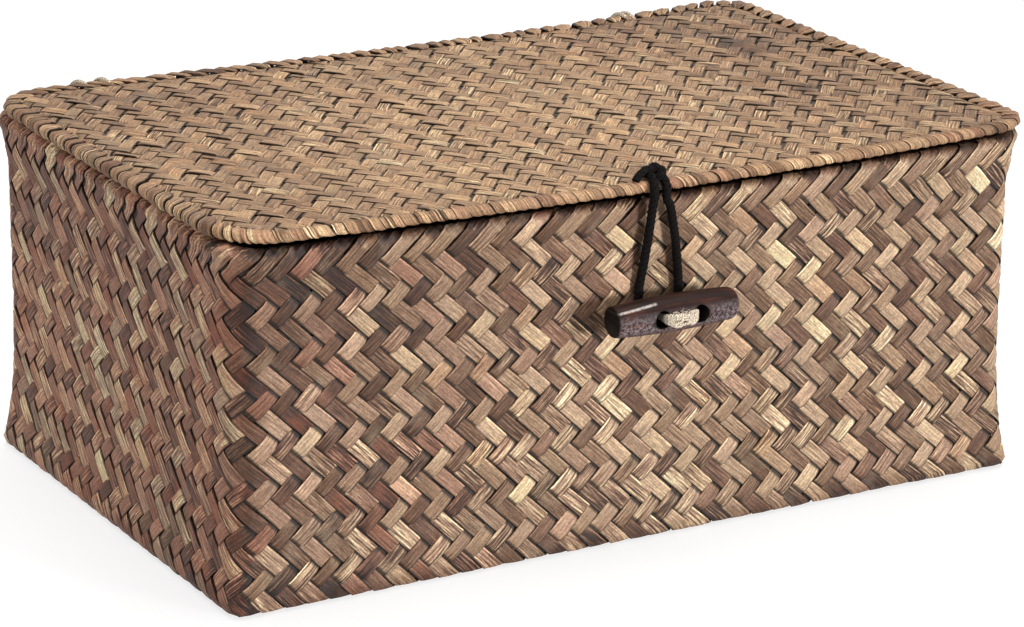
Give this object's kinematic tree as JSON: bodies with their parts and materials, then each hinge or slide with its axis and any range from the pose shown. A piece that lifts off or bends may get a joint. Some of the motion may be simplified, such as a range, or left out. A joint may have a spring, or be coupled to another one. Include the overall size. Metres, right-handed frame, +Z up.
{
  "type": "woven lidded box",
  "caption": "Rectangular woven box with a flat lid that turns back on twine hinges and shuts with a cord loop over a wooden toggle.",
  "frame": {"origin": "centre of the underside of the base, on the surface that the box stands on", "axes": "+X along the length, +Y towards the hinged back, +Z up; the toggle is on the front, which faces -Y"},
  "size_m": [0.28, 0.1984, 0.1223],
  "materials": {
    "wall_weave": "matte",
    "lining_weave": "matte",
    "lid_weave": "matte",
    "cane": "satin",
    "twine": "matte",
    "cord": "matte",
    "toggle_wood": "satin"
  },
  "bodies": {
    "box": {"outer_weave": "wall_weave", "inner_weave": "lining_weave", "rim_cane": "cane", "hinge_tie_left": "twine", "hinge_tie_right": "twine"},
    "lid": {"lid_upper_weave": "lid_weave", "lid_lower_weave": "lining_weave", "lid_cane": "cane", "loop_knot": "cord", "loop_neck_left": "cord", "loop_neck_right": "cord"},
    "loop": {"loop_legs": "cord"},
    "toggle": {"toggle_bar": "toggle_wood", "toggle_tie": "twine", "toggle_knot": "twine"}
  },
  "joints": [
    {"name": "lid_hinge", "type": "hinge", "parent": "box", "child": "lid", "pos_m": [0, 0.0866, 0.10985], "axis": [-1, 0, 0], "range_deg": [0, 180], "deforming": ["loop_legs"]},
    {"name": "loop_swing", "type": "hinge", "parent": "lid", "child": "loop", "pos_m": [0, -0.08475, 0.1145], "axis": [1, 0, 0], "range_deg": [0, 84]},
    {"name": "toggle_swivel", "type": "hinge", "parent": "box", "child": "toggle", "pos_m": [0.0034, -0.0951, 0.0758], "axis": [0, 1, 0], "range_deg": [-90, 90]}
  ],
  "couplings": [
    {"joint": "loop_swing", "follows": "lid_hinge", "ratio": 0.4666}
  ]
}
